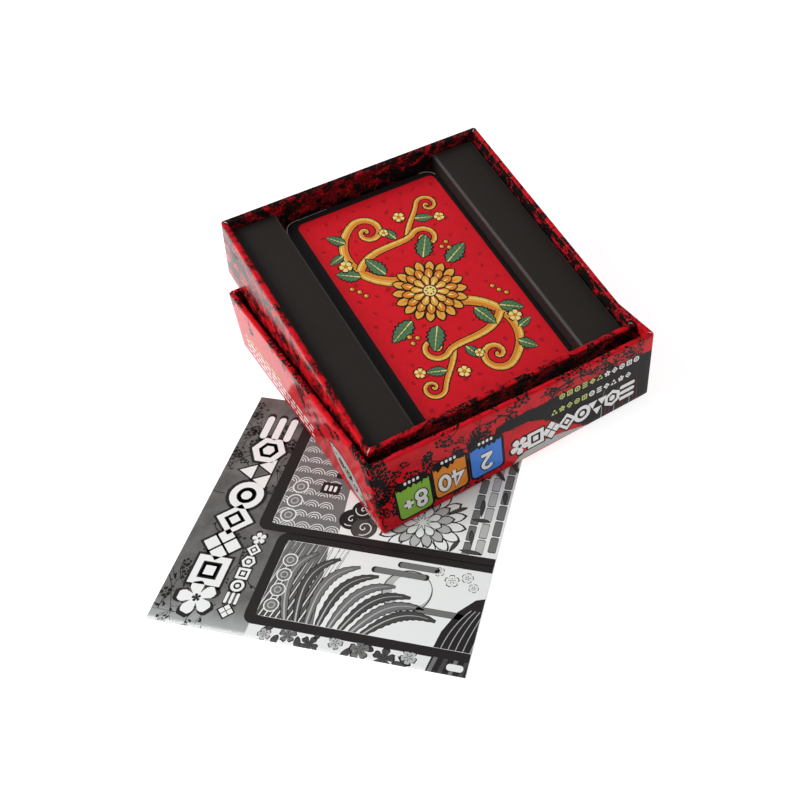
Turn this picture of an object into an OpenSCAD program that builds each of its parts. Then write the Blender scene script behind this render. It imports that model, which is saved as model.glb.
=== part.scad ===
// Boxed flower-card deck, laid out as it is shown: the lid upside down, the tray tipped up in it,
// the cards in the tray's insert, and the rule booklet partly under the lid. Millimetres, +Z up.
// The origin is at the middle of the whole layout, on the table.

/* [Cards] */
// Width of a card
card_w = 58; // [40:0.5:80]
// Length of a card
card_l = 90; // [60:0.5:130]
// Thickness of a card
card_t = 0.28; // [0.2:0.01:0.45]
// Corner radius of a card
card_r = 4.5; // [1:0.5:8]

/* [Board and paper] */
// Thickness of the grey board in the lid and the tray
board_t = 1.5; // [1:0.1:2.5]
// Thickness of the printed paper glued over the board
wrap_t = 0.15; // [0.1:0.05:0.3]
// Thickness of the insert's black card
insert_t = 0.5; // [0.3:0.1:1]

/* [Box] */
// Height of the lid, outside
lid_h = 26; // [16:0.5:34]
// Height of the tray, outside
tray_h = 25.4; // [22:0.2:40]
// Width of each of the insert's raised shelves
shelf_w = 16; // [6:0.5:40]
// Depth of the shelves below the tray's rim
shelf_drop = 3.8; // [2:0.2:6]
// Distance from the lid's front wall to the tray's lower front edge
tray_set = 12; // [9:0.5:16]

/* [Fits] */
// Air between the lid and the tray on each side, when closed
lid_fit = 0.5; // [0.4:0.1:1.2]
// Sideways shift of the tray in the lid
tray_shift = 0.2; // [0:0.05:0.35]
// Air between the insert and the tray on each side
insert_fit = 0.3; // [0.2:0.1:0.8]
// Air between the cards and the insert's walls on each side
deck_fit = 0.8; // [0.5:0.1:2]
// Sideways shift of the deck in its well
deck_shift = 0.4; // [-0.45:0.05:0.45]
// Air between the cards and the tray's front and back walls
deck_end_fit = 1.1; // [0.7:0.1:3]
// Shift of the deck towards the tray's front wall
deck_front_shift = 0.6; // [-0.65:0.05:0.65]
// Air between pieces that lie on each other
stack_gap = 0.02; // [0.01:0.01:0.05]
// Air under the tray where it leans on the lid
lean_gap = 0.05; // [0.03:0.01:0.1]

/* [Booklet] */
// Length of the booklet along its spine
booklet_w = 91; // [60:1:140]
// Depth of the booklet from its spine to its open edge
booklet_d = 88; // [60:1:140]
// Thickness of the booklet's cover paper
cover_t = 0.2; // [0.12:0.02:0.3]
// Thickness of the booklet's inner sheets
sheet_t = 0.12; // [0.08:0.02:0.2]
// Space left in the innermost fold
fold_gap = 0.1; // [0.06:0.02:0.4]
// Turn of the booklet on the table
booklet_turn = -45.4; // [-60:0.1:-30]
// Place of the spine's left end, to the right of the lid's front left corner
booklet_x = -68.5; // [-90:0.5:-40]
// Place of the spine's left end, behind the lid's front left corner
booklet_y = 10.9; // [0:0.1:20]

/* [Hidden] */
$fn = 48;
over = 1;
suits = 12;
cards_per_suit = 4;
deck_count = suits * cards_per_suit;
inner_sheets = 2;

// A wrapped wall has paper on both sides, and a wrapped floor only outside
wall = board_t + 2 * wrap_t;
floor_t = board_t + wrap_t;

// The box is built outwards from the cards
well_w = card_w + 2 * deck_fit;
insert_w = well_w + 2 * shelf_w;
tray_in_w = insert_w + 2 * insert_fit;
tray_in_d = card_l + 2 * deck_end_fit;
insert_d = tray_in_d - 2 * insert_fit;
tray_w = tray_in_w + 2 * wall;
tray_d = tray_in_d + 2 * wall;
lid_w = tray_w + 2 * lid_fit + 2 * wall;
lid_d = tray_d + 2 * lid_fit + 2 * wall;

// Heights above the tray's underside
insert_z = floor_t + stack_gap;
shelf_h = tray_h - shelf_drop - insert_z;
card_pitch = card_t + stack_gap;
deck_z = insert_z + insert_t + stack_gap;

// The booklet lies under the lid's front left corner, so it sets the lid's height
booklet_t = 2 * (cover_t + inner_sheets * (sheet_t + stack_gap)) + fold_gap;
lid_z = booklet_t + stack_gap;

// The tray stands on the lid's floor at the front and leans on its back rim
tray_x = (lid_w - tray_w) / 2 + tray_shift;
tray_y = wall + tray_set;
tray_z = floor_t + lean_gap;
tilt = atan((lid_h + lean_gap - tray_z) / (lid_d - wall - tray_y));

// Plan limits of the whole layout, measured from the lid's front left corner
booklet_corners = [
    for (u = [0, booklet_w], v = [0, booklet_d])
        [booklet_x + u * cos(booklet_turn) - v * sin(booklet_turn),
         booklet_y + u * sin(booklet_turn) + v * cos(booklet_turn)]
];
tray_back = tray_y + tray_d * cos(tilt);
min_x = min([0, for (c = booklet_corners) c[0]]);
max_x = max([lid_w, for (c = booklet_corners) c[0]]);
min_y = min([0, for (c = booklet_corners) c[1]]);
max_y = max([lid_d, tray_back, for (c = booklet_corners) c[1]]);
middle = [(min_x + max_x) / 2, (min_y + max_y) / 2];

function card_name(i) = str("card_", i < 10 ? "0" : "", i);
function sheet_name(i) = str("booklet_sheet_", i);

// Places children that are modelled from the lid's front left corner, on the table
module on_table() {
    translate([-middle[0], -middle[1], 0]) children();
}

// Places children that are modelled in the lid's own frame
module in_lid() {
    on_table() translate([0, 0, lid_z]) children();
}

// Places children that are modelled in the tray's own frame, flat
module in_tray() {
    in_lid() translate([tray_x, tray_y, tray_z]) rotate([tilt, 0, 0]) children();
}

// Places children that are modelled in the booklet's own frame, with the spine along X
module in_booklet() {
    on_table() translate([booklet_x, booklet_y, 0]) rotate([0, 0, booklet_turn]) children();
}

// Open box of board, without its paper; the paper's thickness is left free all round
module board_box(w, d, h) {
    difference() {
        translate([wrap_t, wrap_t, wrap_t]) cube([w - 2 * wrap_t, d - 2 * wrap_t, h - 2 * wrap_t]);
        translate([floor_t, floor_t, floor_t]) cube([w - 2 * floor_t, d - 2 * floor_t, h]);
    }
}

// Paper over the walls of an open box: outside, over the rim and down the inside.
// It starts at height z0, so that 0 takes in the outside of the floor too.
module wall_paper(w, d, h, z0) {
    difference() {
        translate([0, 0, z0]) cube([w, d, h - z0]);
        translate([wrap_t, wrap_t, wrap_t]) cube([w - 2 * wrap_t, d - 2 * wrap_t, h - 2 * wrap_t]);
        translate([wall, wall, z0 + wrap_t]) cube([w - 2 * wall, d - 2 * wall, h]);
    }
    difference() {
        translate([floor_t, floor_t, floor_t]) cube([w - 2 * floor_t, d - 2 * floor_t, h - floor_t]);
        translate([wall, wall, floor_t - over]) cube([w - 2 * wall, d - 2 * wall, h + over]);
    }
}

// Rectangle with true round corners
module round_rect(w, l, r) {
    square([w - 2 * r, l], center = true);
    square([w, l - 2 * r], center = true);
    for (x = [-1, 1], y = [-1, 1])
        translate([x * (w / 2 - r), y * (l / 2 - r)]) circle(r);
}

// Folded sheet seen end on: two leaves joined by a half-round fold, set in from the booklet's skin
module folded_sheet(inset, t) {
    middle_z = booklet_t / 2;
    difference() {
        union() {
            translate([middle_z, middle_z]) circle(middle_z - inset);
            translate([middle_z, inset]) square([booklet_d - middle_z, booklet_t - 2 * inset]);
        }
        translate([middle_z, middle_z]) circle(middle_z - inset - t);
        translate([middle_z, inset + t]) square([booklet_d, booklet_t - 2 * (inset + t)]);
    }
}

// Stands a sheet's end view up and draws it along the spine
module along_spine() {
    rotate([90, 0, 90]) linear_extrude(booklet_w) children();
}

// Grey board of the lid
module lid_board() {
    color("darkgray") in_lid() board_box(lid_w, lid_d, lid_h);
}

// Printed paper over the lid's large panel, which lies downwards here
module lid_wrap_panel() {
    color("firebrick") in_lid() cube([lid_w, lid_d, wrap_t]);
}

// Printed paper over the lid's walls
module lid_wrap_sides() {
    color("crimson") in_lid() wall_paper(lid_w, lid_d, lid_h, wrap_t);
}

// Grey board of the tray
module tray_board() {
    color("gray") in_tray() board_box(tray_w, tray_d, tray_h);
}

// Printed paper over the tray's outside, rim and inner walls
module tray_wrap() {
    color("darkred") in_tray() wall_paper(tray_w, tray_d, tray_h, 0);
}

// Black card folded into two raised shelves with a well between them
module insert() {
    color("#2a2826") in_tray() translate([wall + insert_fit, wall + insert_fit + insert_d, insert_z])
        rotate([90, 0, 0]) linear_extrude(insert_d) {
            for (x = [0, shelf_w - insert_t, insert_w - shelf_w, insert_w - insert_t])
                translate([x, 0]) square([insert_t, shelf_h]);
            for (x = [0, insert_w - shelf_w])
                translate([x, shelf_h - insert_t]) square([shelf_w, insert_t]);
            translate([shelf_w - insert_t, 0]) square([well_w + 2 * insert_t, insert_t]);
        }
}

// One card of the deck, counted from the bottom, with its back upwards
module card(i) {
    color("#c02028") in_tray()
        translate([tray_w / 2 + deck_shift, tray_d / 2 - deck_front_shift, deck_z + (i - 1) * card_pitch])
            linear_extrude(card_t) round_rect(card_w, card_l, card_r);
}

// Outer sheet of the rule booklet, folded at the spine
module booklet_cover() {
    color("gainsboro") in_booklet() along_spine() folded_sheet(0, cover_t);
}

// Inner sheet of the rule booklet, counted from the cover
module booklet_sheet(i) {
    color("whitesmoke") in_booklet() along_spine()
        folded_sheet(cover_t + stack_gap + (i - 1) * (sheet_t + stack_gap), sheet_t);
}

lid_board();
lid_wrap_panel();
lid_wrap_sides();
tray_board();
tray_wrap();
insert();
for (i = [1:deck_count]) card(i);
booklet_cover();
for (i = [1:inner_sheets]) booklet_sheet(i);
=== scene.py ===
"""Looks of the boxed flower-card deck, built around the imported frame, in the row frame and metres."""
import bisect
import math
import random

import bmesh
import bpy
import numpy as np
from mathutils import Matrix, Vector


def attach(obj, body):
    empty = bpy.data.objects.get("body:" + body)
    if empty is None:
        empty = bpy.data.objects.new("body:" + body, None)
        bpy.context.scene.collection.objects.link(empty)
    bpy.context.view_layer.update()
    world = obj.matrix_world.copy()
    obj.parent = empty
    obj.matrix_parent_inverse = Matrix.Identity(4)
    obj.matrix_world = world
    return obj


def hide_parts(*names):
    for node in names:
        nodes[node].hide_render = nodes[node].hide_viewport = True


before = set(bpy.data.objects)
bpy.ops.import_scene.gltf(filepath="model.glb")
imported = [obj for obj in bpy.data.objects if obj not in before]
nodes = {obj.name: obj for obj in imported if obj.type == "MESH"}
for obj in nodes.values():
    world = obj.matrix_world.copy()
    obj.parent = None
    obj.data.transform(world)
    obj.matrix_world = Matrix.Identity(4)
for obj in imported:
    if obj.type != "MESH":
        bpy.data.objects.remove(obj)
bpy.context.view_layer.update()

# Sizes repeated from the part's source, in millimetres
MM = 0.001
MIDDLE = np.array([15.95, 25.9924, 0.0])
LID_Z = 1.08
LID_W = 100.4
LID_H = 26.0
TRAY_W = 95.8
TRAY_H = 25.4
TRAY_AT = np.array([2.5, 13.8, 1.7])
TILT = math.radians(16.0212)
WALL = 1.8
FLOOR_T = 1.65
INSERT_W = 91.6
INSERT_T = 0.5
INSERT_AT = np.array([2.1, 2.1, 1.67])
SHELF_W = 16.0
SHELF_H = 19.93
CARD_W = 58.0
CARD_L = 90.0
CARD_R = 4.5
CARD_T = 0.28
CARD_PITCH = 0.30
DECK_Z = 2.19
DECK_COUNT = 48
DECK_MIDDLE = np.array([TRAY_W / 2 + 0.4, TRAY_W / 2 - 0.6])
BOOKLET_W = 91.0
BOOKLET_D = 88.0
BOOKLET_T = 1.06
BOOKLET_AT = np.array([-68.5, 10.9, 0.0])
BOOKLET_TURN = math.radians(-45.4)

# Heights of one layer of print, in millimetres; those of the lower cards fit the gap between two cards
BOX_STEP = 0.010
TOP_STEP = 0.006
BACK_STEP = 0.0006
FACE_STEP = 0.0009
PAGE_STEP = 0.0020

QUARTER = math.pi / 2
TURN = 2 * math.pi


def turned(points, angle, at=(0, 0), scale=1.0):
    """Points turned, scaled and moved."""
    c, s = math.cos(angle), math.sin(angle)
    p = np.asarray(points, float) * scale
    return np.stack([p[:, 0] * c - p[:, 1] * s + at[0], p[:, 0] * s + p[:, 1] * c + at[1]], axis=1)


# Places in the row frame
def from_lid(p):
    """Lid millimetres to row metres."""
    return (np.asarray(p, float) - MIDDLE + [0, 0, LID_Z]) * MM


def from_tray(p):
    """Flat tray millimetres to row metres."""
    p = np.asarray(p, float)
    return from_lid(np.hstack([p[:, :1], turned(p[:, 1:], TILT)]) + TRAY_AT)


def from_booklet(p):
    """Booklet millimetres, spine along X, to row metres."""
    p = np.asarray(p, float)
    return (np.hstack([turned(p[:, :2], BOOKLET_TURN), p[:, 2:]]) + BOOKLET_AT - MIDDLE) * MM


def steps(low, high, count):
    """Even steps from low, up to but without high."""
    return [low + (high - low) * i / count for i in range(count)]


def arc(at, radius, angles):
    """Points at angles round a point."""
    return np.stack([at[0] + radius * np.cos(angles), at[1] + radius * np.sin(angles)], axis=1)


def band(n, base=0):
    """Faces between a closed ring of n points and the next one."""
    return [(base + i, base + (i + 1) % n, base + n + (i + 1) % n, base + n + i) for i in range(n)]


def smooth(low, high, x):
    """Smooth step from 0 at low to 1 at high."""
    t = np.clip((np.asarray(x, float) - low) / (high - low), 0, 1)
    return t * t * (3 - 2 * t)


# Paper skin of an open square box, addressed by u round the walls and v up, over the rim and down inside
class BoxSkin:
    def __init__(self, width, height, corner, foot, rim, place, shape=None):
        self.w = width
        self.h = height
        self.corner = corner
        self.foot = foot
        self.rim = rim
        self.place = place
        self.shape = shape
        self.v_foot = foot
        self.v_panel = foot - QUARTER * foot
        self.v_top = height - rim
        self.v_flat = self.v_top + QUARTER * rim
        self.v_flat_end = self.v_flat + WALL - 2 * rim
        self.v_inside = self.v_flat_end + QUARTER * rim
        self.v_end = self.v_inside + height - rim - FLOOR_T

    def profile(self, v):
        """Inset from the outer face, height, and the normal's outward and upward parts."""
        v = np.asarray(v, float)
        under = np.clip((self.v_foot - v) / self.foot, 0, QUARTER)
        over = np.clip((v - self.v_top) / self.rim, 0, QUARTER)
        down = np.clip((v - self.v_flat_end) / self.rim, 0, QUARTER)
        inset = self.foot * (1 - np.cos(under)) + self.rim * (1 - np.cos(over) + np.sin(down))
        inset += np.maximum(self.v_panel - v, 0) + np.clip(v - self.v_flat, 0, WALL - 2 * self.rim)
        z = np.clip(v, self.v_foot, self.v_top) - self.foot * np.sin(under) + self.rim * np.sin(over)
        z -= self.rim * (1 - np.cos(down)) + np.maximum(v - self.v_inside, 0)
        turn = over + down - under
        return inset, z, np.cos(turn), np.sin(turn)

    def point(self, u, v, lift=0.0):
        """Row-frame points for arrays of u and v, raised off the paper by lift."""
        inset, z, out, up = self.profile(v)
        return self.spot(u, inset, z + lift * up, lift * out)

    def spot(self, u, inset, z, push=0.0):
        """Row-frame points round the walls at an inset from the outer face, pushed out."""
        u = np.mod(np.asarray(u, float), 4 * self.w)
        inset = np.broadcast_to(np.asarray(inset, float), u.shape)
        z = np.broadcast_to(np.asarray(z, float), u.shape)
        side = np.minimum((u // self.w).astype(int), 3)
        t = u - side * self.w
        c = self.corner
        r = np.maximum(c + (0.35 - c) * np.clip(inset / WALL, 0, 1), 0.05)
        begin = inset + r
        share = np.clip((t - c) / (self.w - 2 * c), 0, 1)
        angle = np.clip((c - np.minimum(t, self.w - t)) / c, 0, 1) * QUARTER / 2
        toward = np.where(t < self.w / 2, -1, 1)
        along = begin + share * (self.w - 2 * begin) + toward * (r + push) * np.sin(angle)
        away = (r + push) * np.cos(angle) - begin
        x = np.select([side == 0, side == 1, side == 2], [along, self.w + away, self.w - along], -away)
        y = np.select([side == 0, side == 1, side == 2], [-away, along, self.w + away], self.w - along)
        p = np.stack([x, y, z], axis=1)
        if self.shape is not None:
            p = self.shape(p)
        return self.place(p)

    def u_lines(self, across):
        """Grid lines round the walls, with the corners' arcs."""
        bend = [self.corner * x / 3 for x in (0, 1, 2)]
        lines = []
        for side in range(4):
            start = side * self.w
            lines += [start + x for x in bend]
            span = self.w - 2 * self.corner
            lines += [start + self.corner + span * i / across for i in range(across + 1)]
            lines += [start + self.w - x for x in reversed(bend[1:])]
        return lines

    def v_lines(self, up, down):
        """Grid lines from the foot over the rim to the inside."""
        lines = steps(self.v_panel, self.v_foot, 4) + steps(self.v_foot, self.v_top, up)
        lines += steps(self.v_top, self.v_flat, 4) + steps(self.v_flat, self.v_flat_end, 2)
        lines += steps(self.v_flat_end, self.v_inside, 4) + steps(self.v_inside, self.v_end, down)
        return lines + [self.v_end]

    def cuts(self):
        """Lines where printed shapes are cut so that they follow the rounded edges."""
        rows = []
        for low, high in ((self.v_panel, self.v_foot), (self.v_top, self.v_flat),
                          (self.v_flat_end, self.v_inside)):
            rows += steps(low, high, 4) + [high]
        columns = []
        for side in range(5):
            start = side * self.w
            columns += [start + self.corner * x / 3 for x in range(-3, 4)]
            columns += [start + self.w * i / 25 for i in range(1, 25)]
        return columns, rows


# The lid is a little out of shape: moves of its corners in X, Y, Z, and the bow of its front wall
FRONT_BOW = 0.6
CORNER_MOVES = {
    (0, 0, 0): (0.0, -1.7, 0.0),
    (0, 0, 1): (-0.3, 1.9, 0.0),
    (1, 0, 0): (-0.2, 0.5, 0.0),
    (1, 0, 1): (0.1, 0.6, 0.0),
    (0, 1, 0): (-0.2, 0.3, 0.0),
    (0, 1, 1): (-0.9, -0.8, -0.9),
}


def lid_shape(p):
    """Bends the square lid into its real shape."""
    share = np.clip(p / [LID_W, LID_W, LID_H], 0, 1)
    moved = p.copy()
    for corner, move in CORNER_MOVES.items():
        weight = np.prod(np.where(corner, share, 1 - share), axis=1)
        moved += weight[:, None] * np.array(move)
    near = 1 - smooth(WALL + 0.5, WALL + 3, p[:, 1])
    moved[:, 1] -= FRONT_BOW * np.sin(math.pi * share[:, 0]) * share[:, 2] * near
    return moved


lid_skin = BoxSkin(LID_W, LID_H, 0.9, 0.9, 0.6, from_lid, lid_shape)
tray_skin = BoxSkin(TRAY_W, TRAY_H, 0.8, 0.8, 0.6, from_tray)


def new_object(name, points, faces, smooth_angle=None):
    """A mesh object from row-frame points."""
    mesh = bpy.data.meshes.new(name)
    mesh.from_pydata([tuple(p) for p in points], [], faces)
    mesh.update()
    obj = bpy.data.objects.new(name, mesh)
    bpy.context.scene.collection.objects.link(obj)
    if smooth_angle is not None:
        mesh.polygons.foreach_set("use_smooth", [True] * len(mesh.polygons))
        mesh.set_sharp_from_angle(angle=math.radians(smooth_angle))
    return obj


def set_attribute(obj, name, values):
    """A number for each vertex."""
    attribute = obj.data.attributes.new(name, "FLOAT", "POINT")
    attribute.data.foreach_set("value", np.asarray(values, np.float32))


# How far the large panel lies from the walls on the map of the print
PANEL_SHIFT = 200


def skin_object(name, skin, across, up, down, dark):
    """The paper of a box as one mesh: walls, rim, turned-in part and the outside of the floor."""
    us = skin.u_lines(across)
    vs = skin.v_lines(up, down)
    gu, gv = np.meshgrid(us, vs, indexing="ij")
    flat_u = gu.ravel()
    flat_v = gv.ravel()
    points = skin.point(flat_u, flat_v)
    rows = len(vs)
    count = len(us)
    faces = []
    corners_uv = []
    for i in range(count):
        j = (i + 1) % count
        u0 = us[i]
        u1 = us[j] if j else 4 * skin.w
        for k in range(rows - 1):
            faces.append((i * rows + k, j * rows + k, j * rows + k + 1, i * rows + k + 1))
            corners_uv += [u0, vs[k], u1, vs[k], u1, vs[k + 1], u0, vs[k + 1]]
    faces.append(tuple(i * rows for i in reversed(range(count))))
    for i in reversed(range(count)):
        local = points[i * rows]
        corners_uv += [local[0] / MM, local[1] / MM - PANEL_SHIFT]
    obj = new_object(name, points, faces, 50)
    layer = obj.data.uv_layers.new(name="print")
    layer.data.foreach_set("uv", np.asarray(corners_uv, np.float32))
    side_t = np.mod(flat_u, skin.w)
    to_corner = np.minimum(side_t, skin.w - side_t)
    upright = 1 - smooth(0.05, 1.0, to_corner)
    over_rim = smooth(skin.v_top - 0.9, skin.v_top + 0.4, flat_v)
    inner = smooth(skin.v_inside - 0.5, skin.v_inside + 0.6, flat_v)
    over_rim *= 1 - inner
    at_foot = 1 - smooth(skin.v_panel + 0.3, skin.v_foot + 0.9, flat_v)
    edge = np.maximum(np.maximum(upright, 0.5 * over_rim), 0.5 * at_foot)
    edge = np.clip(edge + 0.35 * upright * np.maximum(over_rim, at_foot), 0, 1.35)
    edge = np.maximum(edge * (1 - inner), 0.45 * inner)
    set_attribute(obj, "edge", edge)
    # dark: where the print turns black; on the tray's front and left walls it is also painted shade
    set_attribute(obj, "dark", dark(flat_u, flat_v))
    return obj


def board_object(name, skin, across, cover):
    """The board under the paper of a box, as one closed shell that keeps inside the paper."""
    us = np.asarray(skin.u_lines(across))
    heights = np.linspace(cover, skin.h - cover, 9)
    rings = [(cover, z) for z in heights] + [(WALL - cover, max(z, FLOOR_T)) for z in heights[::-1]]
    points = np.vstack([skin.spot(us, inset, z) for inset, z in rings])
    n = len(us)
    faces = []
    for k in range(len(rings) - 1):
        faces += band(n, k * n)
    faces.append(tuple(reversed(range(n))))
    faces.append(tuple(range(len(points) - n, len(points))))
    return new_object(name, points, faces, 30)


# Printed shapes
class Art:
    def __init__(self):
        self.points = []
        self.layers = []
        self.faces = []
        self.inks = []

    def add(self, points, faces, ink, layer):
        """Shapes given by flat points and faces, all turned to face outwards."""
        points = np.asarray(points, float)
        base = len(self.points)
        self.points += [tuple(p) for p in points]
        self.layers += [layer] * len(points)
        for f in faces:
            ring = points[list(f)]
            nxt = np.roll(ring, -1, axis=0)
            area = float(np.sum(ring[:, 0] * nxt[:, 1] - nxt[:, 0] * ring[:, 1]))
            if area < 0:
                f = tuple(reversed(f))
            self.faces.append(tuple(base + i for i in f))
            self.inks.append(ink)

    def fan(self, outline, ink, layer, middle=None):
        """A filled outline that is seen whole from its middle."""
        outline = np.asarray(outline, float)
        middle = outline.mean(axis=0) if middle is None else np.asarray(middle, float)
        n = len(outline)
        points = np.vstack([outline, middle])
        self.add(points, [(i, (i + 1) % n, n) for i in range(n)], ink, layer)

    def stroke(self, line, width, ink, layer):
        """A line with a width at each point and even corners."""
        line = np.asarray(line, float)
        n = len(line)
        width = np.broadcast_to(np.asarray(width, float), (n,))
        step = np.diff(line, axis=0)
        step /= np.maximum(np.linalg.norm(step, axis=1, keepdims=True), 1e-9)
        across = np.stack([-step[:, 1], step[:, 0]], axis=1)
        before = np.vstack([across[:1], across])
        after = np.vstack([across, across[-1:]])
        fit = np.maximum(1 + np.sum(before * after, axis=1, keepdims=True), 0.5)
        side = (before + after) / fit * width[:, None] / 2
        points = np.vstack([line - side, line + side])
        self.add(points, [(i, i + 1, n + i + 1, n + i) for i in range(n - 1)], ink, layer)

    def ring(self, outer, inner, ink, layer):
        """The band between two outlines with the same count of points."""
        n = len(outer)
        self.add(np.vstack([outer, inner]), band(n), ink, layer)

    def clip(self, low, high):
        """Keeps only what lies in a rectangle."""
        self.cut((low[0], high[0]), (low[1], high[1]))
        kept = []
        for face, ink_number in zip(self.faces, self.inks):
            middle = np.mean([self.points[i] for i in face], axis=0)
            if np.all(middle > low) and np.all(middle < high):
                kept.append((face, ink_number))
        self.faces = [face for face, ink_number in kept]
        self.inks = [ink_number for face, ink_number in kept]

    def cut(self, columns, rows):
        """Cuts the shapes along lines of u and v."""
        for axis, lines in ((0, sorted(columns)), (1, sorted(rows))):
            faces = []
            inks = []
            for face, ink_number in zip(self.faces, self.inks):
                spots = [self.points[i][axis] for i in face]
                first = bisect.bisect_right(lines, min(spots) + 1e-4)
                last = bisect.bisect_left(lines, max(spots) - 1e-4)
                parts = [face]
                for value in lines[first:last]:
                    parts = [half for part in parts for half in self.split(part, axis, value)]
                faces += parts
                inks += [ink_number] * len(parts)
            self.faces = faces
            self.inks = inks

    def split(self, face, axis, value):
        """The two parts of a face on either side of a line."""
        below = []
        above = []
        for i, j in zip(face, face[1:] + face[:1]):
            a = self.points[i]
            b = self.points[j]
            if a[axis] <= value:
                below.append(i)
            if a[axis] >= value:
                above.append(i)
            if (a[axis] - value) * (b[axis] - value) < 0:
                t = (value - a[axis]) / (b[axis] - a[axis])
                self.points.append((a[0] + t * (b[0] - a[0]), a[1] + t * (b[1] - a[1])))
                self.layers.append(self.layers[i])
                below.append(len(self.points) - 1)
                above.append(len(self.points) - 1)
        return [tuple(part) for part in (below, above) if len(part) > 2]

    def join(self, other):
        """Adds the shapes of another drawing."""
        base = len(self.points)
        self.points += other.points
        self.layers += other.layers
        self.faces += [tuple(base + i for i in f) for f in other.faces]
        self.inks += other.inks

    def build(self, name, place, materials, body, slot, step):
        """The drawing as a thin printed piece; place turns u, v and height into row metres."""
        used = sorted({i for face in self.faces for i in face})
        number = {old: new for new, old in enumerate(used)}
        p = np.asarray([self.points[i] for i in used], float)
        lift = (np.asarray([self.layers[i] for i in used], float) + 1) * step
        faces = [tuple(number[i] for i in face) for face in self.faces]
        obj = new_object(name, place(p[:, 0], p[:, 1], lift), faces)
        for material in materials:
            obj.data.materials.append(material)
        obj.data.polygons.foreach_set("material_index", self.inks)
        obj.data.update()
        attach(obj, body)
        return obj


def circle(at, radius, n=28):
    return arc(at, radius, np.linspace(0, TURN, n, endpoint=False))


def flower(at, radius, petals=5, turn=0.0, notch=0.16, waist=0.38, n=9):
    """Outline of an open blossom with notched petals."""
    a = np.linspace(-1, 1, n, endpoint=False)
    reach = waist + (1 - waist) * np.cos(a * QUARTER) ** 0.5
    reach = reach - notch * np.exp(-((a / 0.16) ** 2))
    points = []
    for i in range(petals):
        points.append(arc((0, 0), reach, turn + (2 * i + a) * math.pi / petals))
    return np.vstack(points) * radius + np.asarray(at, float)


def petal(length, width, n=9, point=0.7):
    """Outline of one petal or leaf from the origin along X."""
    t = np.linspace(0, 1, n)
    half = width / 2 * np.sin(math.pi * t ** point) ** 0.8
    upper = np.stack([t * length, half], axis=1)
    lower = np.stack([t[::-1] * length, -half[::-1]], axis=1)
    return np.vstack([upper, lower[1:-1]])


def round_rect(low, high, radius, n=5):
    """Outline of a rectangle with round corners."""
    points = []
    centres = ((high[0] - radius, high[1] - radius, 0), (low[0] + radius, high[1] - radius, 1),
               (low[0] + radius, low[1] + radius, 2), (high[0] - radius, low[1] + radius, 3))
    for x, y, quarter in centres:
        points.append(arc((x, y), radius, np.linspace(0, QUARTER, n) + quarter * QUARTER))
    return np.vstack(points)


def bezier(a, b, c, d, n=16):
    """Points along a cubic curve."""
    t = np.linspace(0, 1, n)[:, None]
    a, b, c, d = (np.asarray(x, float) for x in (a, b, c, d))
    return a * (1 - t) ** 3 + 3 * b * t * (1 - t) ** 2 + 3 * c * t * t * (1 - t) + d * t ** 3


def spiral(at, start, radius, turns, hand=1, n=30, power=1.0):
    """Points of a spiral that winds in from its start angle."""
    t = np.linspace(0, 1, n)
    return arc(at, radius * (1 - t) ** power, start + hand * turns * TURN * t)


# Materials; the gloss of a print is the refraction index of its varnish
BOX_GLOSS = 1.22
PAGE_GLOSS = 1.36
CARD_GLOSS = 1.22


class Nodes:
    def __init__(self, name):
        self.material = bpy.data.materials.new(name)
        self.material.use_nodes = True
        self.tree = self.material.node_tree
        self.shader = self.tree.nodes["Principled BSDF"]

    def put(self, socket, value):
        """Links a socket, or sets its own value."""
        if isinstance(value, bpy.types.NodeSocket):
            self.tree.links.new(value, socket)
        elif isinstance(value, tuple) and len(value) == 3 and socket.type == "RGBA":
            socket.default_value = (*value, 1)
        else:
            socket.default_value = value

    def set(self, **values):
        """Sets the shader's sockets, named with underscores for spaces."""
        for name, value in values.items():
            self.put(self.shader.inputs[name.replace("_", " ")], value)

    def node(self, kind, result, inputs, **settings):
        """A new node with its settings and inputs, given back by one of its results."""
        node = self.tree.nodes.new("ShaderNode" + kind)
        for name, value in settings.items():
            setattr(node, name, value)
        for name, value in inputs.items():
            self.put(node.inputs[name], value)
        return node.outputs[result]

    def uv(self):
        return self.node("UVMap", "UV", {}, uv_map="print")

    def place(self, at=(0, 0, 0), turn=(0, 0, 0)):
        """Millimetres from a point of the row frame, along axes turned with the piece."""
        spot = self.node("TexCoord", "Object", {})
        inputs = {"Vector": spot, "Location": at, "Rotation": turn, "Scale": (MM, MM, MM)}
        return self.node("Mapping", "Vector", inputs, vector_type="TEXTURE")

    def attribute(self, name):
        return self.node("Attribute", "Fac", {}, attribute_name=name)

    def noise(self, vector, scale, detail=3.0, rough=0.55, bend=0.0):
        inputs = {"Vector": vector, "Scale": scale, "Detail": detail, "Roughness": rough, "Distortion": bend}
        return self.node("TexNoise", "Fac", inputs)

    def stretch(self, vector, factors):
        return self.node("VectorMath", "Vector", {0: vector, 1: factors}, operation="MULTIPLY")

    def axis(self, vector, name):
        return self.node("SeparateXYZ", name, {"Vector": vector})

    def calc(self, operation, a, b=0.0):
        return self.node("Math", "Value", {0: a, 1: b}, operation=operation)

    def span(self, value, low, high, to_low=0.0, to_high=1.0):
        """Smooth change from to_low to to_high."""
        inputs = {"Value": value, "From Min": low, "From Max": high, "To Min": to_low, "To Max": to_high}
        return self.node("MapRange", "Result", inputs, interpolation_type="SMOOTHSTEP")

    def mix(self, share, a, b):
        return self.node("Mix", 2, {"Factor": share, 6: a, 7: b}, data_type="RGBA")

    def bump(self, height, strength, distance):
        return self.node("Bump", "Normal", {"Strength": strength, "Distance": distance, "Height": height})


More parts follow.
